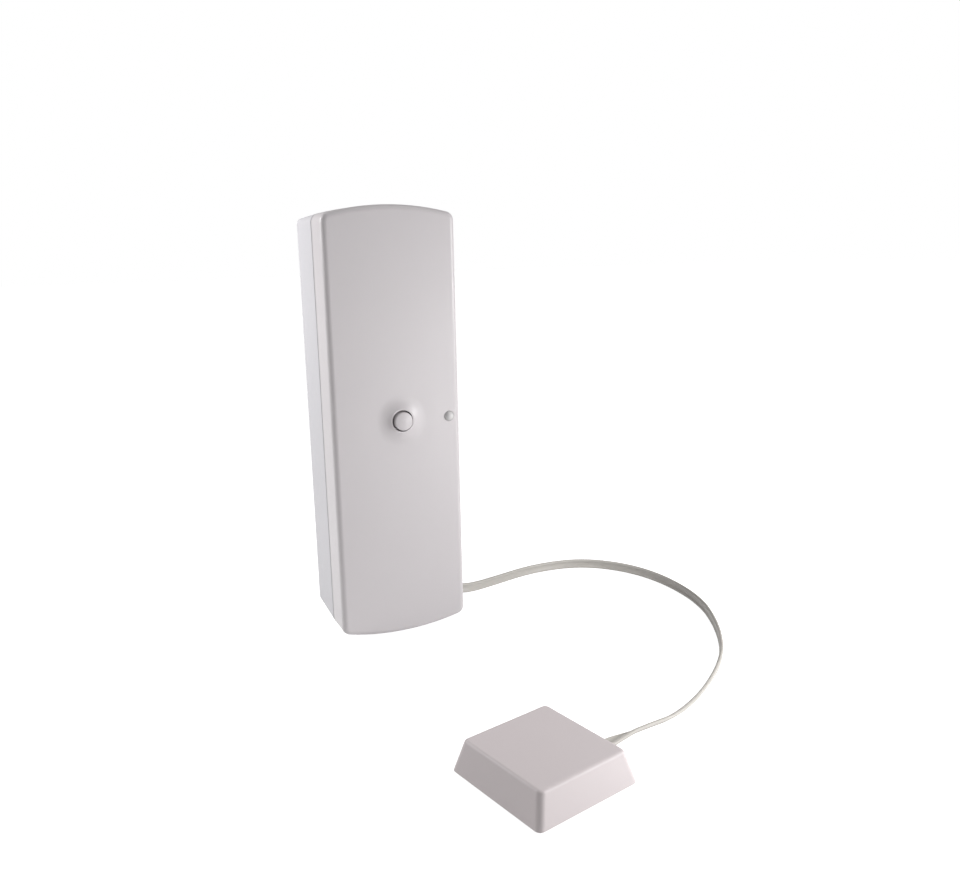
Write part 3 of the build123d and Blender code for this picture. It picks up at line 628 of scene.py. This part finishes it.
def lay_floor(scene, settings):
    """A plain pale floor that shows white and keeps a faint shadow."""
    mesh = bpy.data.meshes.new("floor")
    quarters = ((-1, -1), (1, -1), (1, 1), (-1, 1))
    corners = [(FLOOR_HALF * right, FLOOR_HALF * back, 0.0) for right, back in quarters]
    mesh.from_pydata(corners, [], [(0, 1, 2, 3)])
    material = bpy.data.materials.new("floor_paper")
    material.use_nodes = True
    tree = material.node_tree
    tree.nodes.clear()
    paper = tree.nodes.new("ShaderNodeBsdfDiffuse")
    paper.inputs["Color"].default_value = PAPER
    glow = tree.nodes.new("ShaderNodeEmission")
    glow.inputs["Strength"].default_value = settings.floor_glow
    both = tree.nodes.new("ShaderNodeAddShader")
    tree.links.new(paper.outputs[0], both.inputs[0])
    tree.links.new(glow.outputs[0], both.inputs[1])
    out = tree.nodes.new("ShaderNodeOutputMaterial")
    kinds = ("Is Camera Ray", "Is Glossy Ray", "Is Transmission Ray")
    show_white(tree, paper, both, out, *kinds)
    mesh.materials.append(material)
    floor = bpy.data.objects.new("floor", mesh)
    scene.collection.objects.link(floor)


def add_lamp(scene, name, place, aim, size, power):
    """A square soft lamp that looks at a point."""
    data = bpy.data.lights.new(name, "AREA")
    data.shape = "SQUARE"
    data.size = size
    data.energy = power
    lamp = bpy.data.objects.new(name, data)
    place = Vector(place)
    lamp.location = place
    lamp.rotation_euler = (place - Vector(aim)).to_track_quat("Z", "Y").to_euler()
    scene.collection.objects.link(lamp)


class DETECTOR_OT_stage(Operator):
    """Sets up the camera, the floor, the lamps and the room"""

    bl_idname = "detector.stage"
    bl_label = "Stage"

    def execute(self, context):
        scene = context.scene
        settings = scene.detector_stage
        scene.view_settings.view_transform = "Standard"
        set_camera(scene, settings)
        light_room(scene, settings)
        lay_floor(scene, settings)
        for name, (place, aim, size) in LAMPS.items():
            power = getattr(settings, f"{name}_power")
            add_lamp(scene, f"{name}_lamp", place, aim, size, power)
        return {"FINISHED"}


def lead_section(settings):
    """The lead's section, two round cores with a web, as (across, through) pairs."""
    radius, offset, web = settings.core_radius, settings.core_offset, settings.web_half
    open_angle = pi - asin(web / radius)
    right = []
    for step in range(SECTION_STEPS + 1):
        angle = -open_angle + 2 * open_angle * step / SECTION_STEPS
        right.append((offset + radius * cos(angle), radius * sin(angle)))
    left = [(-across, -through) for across, through in right]
    return right + left


def route_points():
    """The lead's smooth line, from a curve with the route's points as its control points."""
    data = bpy.data.curves.new("lead_route", "CURVE")
    data.dimensions = "3D"
    data.resolution_u = ROUTE_STEPS
    spline = data.splines.new("NURBS")
    spline.points.add(len(LEAD_ROUTE) - 1)
    for point, place in zip(spline.points, LEAD_ROUTE):
        point.co = (*[value * MM for value in place], 1.0)
    spline.order_u = 3
    spline.use_endpoint_u = True
    route = bpy.data.objects.new("lead_route", data)
    line = bpy.data.meshes.new_from_object(route)
    points = [vertex.co.copy() for vertex in line.vertices]
    bpy.data.objects.remove(route)
    bpy.data.curves.remove(data)
    bpy.data.meshes.remove(line)
    return points


def shares_along(points):
    """Each point's share of the line's length."""
    lengths = [0.0]
    for before, after in zip(points, points[1:]):
        lengths.append(lengths[-1] + (after - before).length)
    return [length / lengths[-1] for length in lengths]


def eased(share, start, end):
    """From 0 to 1 between two shares of the route, with soft ends."""
    part = min(1.0, max(0.0, (share - start) / (end - start)))
    return 0.5 * part + 0.5 * part * part * (3 - 2 * part)


def ribbon(points, settings):
    """The lead's corners and faces: on edge where it leaves the housing, flat at the sensor."""
    section = lead_section(settings)
    count = len(section)
    corners = []
    last = len(points) - 1
    for index, share in enumerate(shares_along(points)):
        heading = (points[min(last, index + 1)] - points[max(0, index - 1)]).normalized()
        level = heading.cross(UP).normalized()
        upright = level.cross(heading)
        lean = settings.lean * eased(share, settings.lean_start, settings.lean_end)
        flat = (pi / 2 - settings.lean) * eased(share, settings.flat_start, settings.flat_end)
        turn = -lean - flat
        wide = cos(turn) * upright + sin(turn) * level
        thin = heading.cross(wide)
        for across, through in section:
            corners.append(points[index] + across * wide + through * thin)
    ends = [tuple(reversed(range(count))), tuple(range(last * count, last * count + count))]
    faces = [ends[0], *tube_faces(0, count, len(points)), ends[1]]
    return corners, faces


class DETECTOR_OT_lead(Operator):
    """Lays the flat twin lead from the housing to the sensor"""

    bl_idname = "detector.lead"
    bl_label = "Lead"

    def execute(self, context):
        settings = context.scene.detector_lead
        points = route_points()
        corners, faces = ribbon(points, settings)
        surface = vinyl("lead_vinyl", settings.colour, VINYL_ROUGHNESS)
        lead = add_piece("lead", corners, faces, surface, "housing", "cord_jacket")
        lead.data.shade_smooth()
        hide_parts("sensor_cord")
        return {"FINISHED"}


class DETECTOR_OT_housing(Operator):
    """Finishes the base, the cover, the button and the wall plunger"""

    bl_idname = "detector.housing"
    bl_label = "Housing"

    def execute(self, context):
        settings = context.scene.detector_housing
        base, cover = settings.base_colour, settings.cover_colour
        # The base is duller than the cover, and the button a little smoother.
        looks = {
            "rear_base": ("base_plastic", base, 0.08, 0.35),
            "front_cover": ("cover_plastic", cover, 0.0, 0.5),
            "test_button": ("button_plastic", cover, -0.04, 0.5),
            "tamper_plunger": ("plunger_plastic", base, 0.0, 0.5),
        }
        for node, (name, colour, rougher, shine) in looks.items():
            roughness = settings.roughness + rougher
            plastic = moulded(name, colour, roughness, settings.grain, settings.grain_rise, shine)
            # Both shells get a painted shade along the seam between them.
            if node in ("rear_base", "front_cover"):
                paint_seam_shade(plastic)
            dress(plastic, node)
        return {"FINISHED"}


class DETECTOR_OT_light(Operator):
    """Finishes the light pipe and the lamp chip behind it"""

    bl_idname = "detector.light"
    bl_label = "Light"

    def execute(self, context):
        pipe = Surface("pipe_plastic", srgb(240, 238, 238), 0.22)
        pipe.tint(pipe.grain(0.002), 0.97, 1.02)
        pipe.set("Transmission Weight", 0.2)
        pipe.set("IOR", 1.49)
        pipe.bump(pipe.grain(0.0006, 1.0), 0.000006)
        dress(pipe, "light_pipe")
        resin = Surface("led_resin", (0.75, 0.42, 0.32), 0.2)
        resin.tint(resin.grain(0.0005), 0.9, 1.1)
        resin.set("IOR", 1.5)
        dress(resin, "status_led")
        return {"FINISHED"}


class DETECTOR_OT_sensor(Operator):
    """Finishes the sensor's cap, plate, pad and disc"""

    bl_idname = "detector.sensor"
    bl_label = "Sensor"

    def execute(self, context):
        settings = context.scene.detector_sensor
        colour, roughness = settings.colour, settings.roughness
        dress(moulded("cap_plastic", colour, roughness, 0.0003, 0.000005), "sensor_cap")
        dress(moulded("plate_plastic", colour, roughness + 0.1), "sensor_plate")
        foam = Surface("pad_foam", settings.pad_colour, 0.85)
        pores = foam.cells(0.0004)
        foam.tint(pores, 0.9, 1.03)
        foam.bump(pores, 0.00006)
        dress(foam, "adhesive_pad")
        dress(metal("disc_brass", (0.72, 0.5, 0.22), 0.3, 0.0003), "piezo_plate")
        dress(metal("disc_silver", (0.75, 0.74, 0.7), 0.35, 0.0004), "piezo_element")
        return {"FINISHED"}


class DETECTOR_OT_glands(Operator):
    """Finishes the two glands and the lead's ends inside"""

    bl_idname = "detector.glands"
    bl_label = "Glands"

    def execute(self, context):
        colour = context.scene.detector_lead.colour
        dress(vinyl("gland_rubber", srgb(205, 202, 199), 0.55), "cord_gland", "sensor_gland")
        dress(vinyl("tail_vinyl", colour, VINYL_ROUGHNESS), "cord_tail", "sensor_tail")
        return {"FINISHED"}


def outline_lines():
    """The printed outlines, as two lines that meet for each box."""
    lines = []
    for x, z, width, height in OUTLINES:
        left, right = x - width / 2, x + width / 2
        low, high = z - height / 2, z + height / 2
        lines.append([(left, low), (right, low), (right, high)])
        lines.append([(right, high), (left, high), (left, low)])
    return lines


def masked(name, colour, darker, lighter):
    """Glossy solder mask."""
    surface = Surface(name, colour, 0.28)
    surface.tint(surface.grain(0.0006, 3.0), darker, lighter)
    surface.set("Coat Weight", 0.3)
    return surface


class DETECTOR_OT_board(Operator):
    """Finishes the circuit board"""

    bl_idname = "detector.board"
    bl_label = "Board"

    def execute(self, context):
        settings = context.scene.detector_board
        mask = masked("board_laminate", settings.mask_colour, 0.85, 1.15)
        mask.bump(mask.grain(0.0003), 0.000008)
        dress(mask, "circuit_board")
        # Over copper the mask looks lighter.
        traced = [min(1.0, channel * 1.9) for channel in settings.mask_colour]
        copper = masked("board_copper", traced, 0.9, 1.1)
        tracks = board_strips(TRACKS, settings.track_width / MM, settings.track_rise / MM)
        add_piece("board_tracks", *tracks, copper, "housing", "board_laminate")
        ink = Surface("board_ink", srgb(225, 226, 220), 0.6)
        ink.tint(ink.grain(0.0004), 0.85, 1.0)
        marks = board_strips(outline_lines(), INK_WIDTH, INK_RISE)
        add_piece("board_marks", *marks, ink, "housing", "board_laminate")
        solder = metal("solder", settings.solder_colour, 0.22, 0.0004)
        domes = board_domes(SOLDERED + [(x, z, VIA_RADIUS, VIA_RISE) for x, z in VIAS])
        heaps = add_piece("solder_joints", *domes, solder, "housing", "tinned_can")
        heaps.data.shade_smooth()
        return {"FINISHED"}


def black_resin(name, roughness):
    """Black moulded resin, finer and rougher than the housing's plastic."""
    return moulded(name, BLACK_RESIN, roughness, RESIN_GRAIN, RESIN_RISE)


def capacitor_sleeve():
    """A dark sleeve with a pale stripe, open round the can's bare top."""
    sleeve = moulded("capacitor_sleeve", SLEEVE_BLUE, 0.35)
    stripe = sleeve.within(sleeve.along("X"), CAPACITOR_STRIPE)
    sleeve.set("Base Color", sleeve.mixed(stripe, SLEEVE_BLUE, (0.5, 0.52, 0.55)))
    top = sleeve.over_board(CAPACITOR_DEPTH)
    inner = sleeve.within(sleeve.radius("Y", CAPACITOR_AXIS), CAPACITOR_BARE_RADIUS)
    tin(sleeve, sleeve.math("MULTIPLY", top, inner), (0.5, 0.5, 0.51), 0.4)
    return sleeve


class DETECTOR_OT_components(Operator):
    """Finishes what is soldered to the board"""

    bl_idname = "detector.components"
    bl_label = "Components"

    def execute(self, context):
        # The chips' legs, the switch's plate and the radio's can are bare metal.
        for node, (middle, half) in CHIP_BODIES.items():
            chip = black_resin(f"{node}_compound", 0.6)
            tin(chip, chip.beyond(chip.away("X", middle), half))
            dress(chip, node)
        dress(black_resin("switch_compound", 0.55), "switch_plunger", "tamper_switch")
        case = black_resin("switch_case", 0.55)
        tin(case, case.over_board(SWITCH_CASE_DEPTH))
        dress(case, "switch_body")
        radio = moulded("radio_laminate", (0.01, 0.03, 0.09), 0.35)
        tin(radio, radio.over_board(RADIO_BOARD_DEPTH))
        dress(radio, "radio_module")
        dress(metal("tinned_can", TIN, 0.32), "crystal")
        dress(metal("coil_wire", (0.72, 0.45, 0.2), 0.3), "antenna")
        dress(moulded("chip_ceramic", (0.3, 0.22, 0.14), 0.5), "chip_parts")
        ends = []
        for x, z in CHIPS:
            ends += [(x + side * CHIP_END_OFFSET, z, *CHIP_END) for side in (-1, 1)]
        plating = metal("chip_tin", (0.58, 0.58, 0.57), 0.28)
        add_piece("chip_ends", *board_boxes(ends), plating, "housing", "tinned_can")
        dress(capacitor_sleeve(), "capacitor")
        dress(moulded("trimmer_blue", (0.02, 0.1, 0.36), 0.35), "trimmer_body")
        dress(metal("rotor_brass", (0.75, 0.52, 0.25), 0.3), "trimmer_rotor")
        dress(moulded("terminal_green", (0.02, 0.2, 0.07), 0.4), "terminal_block")
        return {"FINISHED"}


class DETECTOR_OT_cell(Operator):
    """Finishes the lithium cell and its contacts"""

    bl_idname = "detector.cell"
    bl_label = "Cell"

    def execute(self, context):
        settings = context.scene.detector_cell
        film = moulded("cell_film", settings.film_colour, 0.3, 0.004, 0.000002)
        band = film.beyond(film.along("Z"), CELL_BAND)
        film.set("Base Color", film.mixed(band, settings.film_colour, settings.band_colour))
        steel = film.within(film.radius("Z", CELL_AXIS), CELL_BARE_RADIUS)
        tin(film, steel, (0.62, 0.61, 0.59))
        dress(film, "battery_cell")
        dress(metal("contact_nickel", (0.68, 0.65, 0.6), 0.28), "battery_plate", "battery_spring")
        return {"FINISHED"}


class DETECTOR_OT_hardware(Operator):
    """Finishes the wires, the screws and the wall plunger's spring"""

    bl_idname = "detector.hardware"
    bl_label = "Wires and screws"

    def execute(self, context):
        red = vinyl("wire_red", (0.42, 0.012, 0.01), 0.4)
        black = vinyl("wire_black", (0.012, 0.012, 0.012), 0.4)
        dress(red, "battery_wire_red", "sensor_wire_red", "disc_wire_red")
        dress(black, "battery_wire_black", "sensor_wire_black", "disc_wire_black")
        dress(metal("zinc_plate", (0.66, 0.67, 0.69), 0.3), "board_screws", "terminal_screws")
        steel = metal("spring_steel", (0.6, 0.59, 0.56), 0.28)
        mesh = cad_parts["tamper_spring"].data
        points = [vertex.co for vertex in mesh.vertices]
        faces = [tuple(polygon.vertices) for polygon in mesh.polygons]
        spring = add_piece("wall_spring", points, faces, steel, "housing", "spring_steel")
        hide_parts("tamper_spring")
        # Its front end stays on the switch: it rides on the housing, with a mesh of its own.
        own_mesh(spring)
        return {"FINISHED"}


SETTINGS = {
    "detector_stage": StageSettings,
    "detector_lead": LeadSettings,
    "detector_housing": HousingSettings,
    "detector_sensor": SensorSettings,
    "detector_board": BoardSettings,
    "detector_cell": CellSettings,
}

OPERATORS = [
    DETECTOR_OT_stage,
    DETECTOR_OT_lead,
    DETECTOR_OT_housing,
    DETECTOR_OT_light,
    DETECTOR_OT_sensor,
    DETECTOR_OT_glands,
    DETECTOR_OT_board,
    DETECTOR_OT_components,
    DETECTOR_OT_cell,
    DETECTOR_OT_hardware,
]


class DETECTOR_PT_pieces(Panel):
    """Lists the detector's operators and settings"""

    bl_idname = "DETECTOR_PT_pieces"
    bl_label = "Glass break detector"
    bl_space_type = "VIEW_3D"
    bl_region_type = "UI"
    bl_category = "Detector"

    def draw(self, context):
        for operator in OPERATORS:
            self.layout.operator(operator.bl_idname)
        for name in SETTINGS:
            box = self.layout.box()
            settings = getattr(context.scene, name)
            for key in settings.__annotations__:
                box.prop(settings, key)


def register():
    for group in SETTINGS.values():
        bpy.utils.register_class(group)
    for operator in OPERATORS:
        bpy.utils.register_class(operator)
    bpy.utils.register_class(DETECTOR_PT_pieces)
    for name, group in SETTINGS.items():
        setattr(bpy.types.Scene, name, PointerProperty(type=group))


def unregister():
    for name in SETTINGS:
        delattr(bpy.types.Scene, name)
    bpy.utils.unregister_class(DETECTOR_PT_pieces)
    for operator in reversed(OPERATORS):
        bpy.utils.unregister_class(operator)
    for group in reversed(list(SETTINGS.values())):
        bpy.utils.unregister_class(group)


def main():
    register()
    bpy.ops.detector.stage()
    bpy.ops.detector.lead()
    bpy.ops.detector.housing()
    bpy.ops.detector.light()
    bpy.ops.detector.sensor()
    bpy.ops.detector.glands()
    bpy.ops.detector.board()
    bpy.ops.detector.components()
    bpy.ops.detector.cell()
    bpy.ops.detector.hardware()


if __name__ == "__main__":
    main()
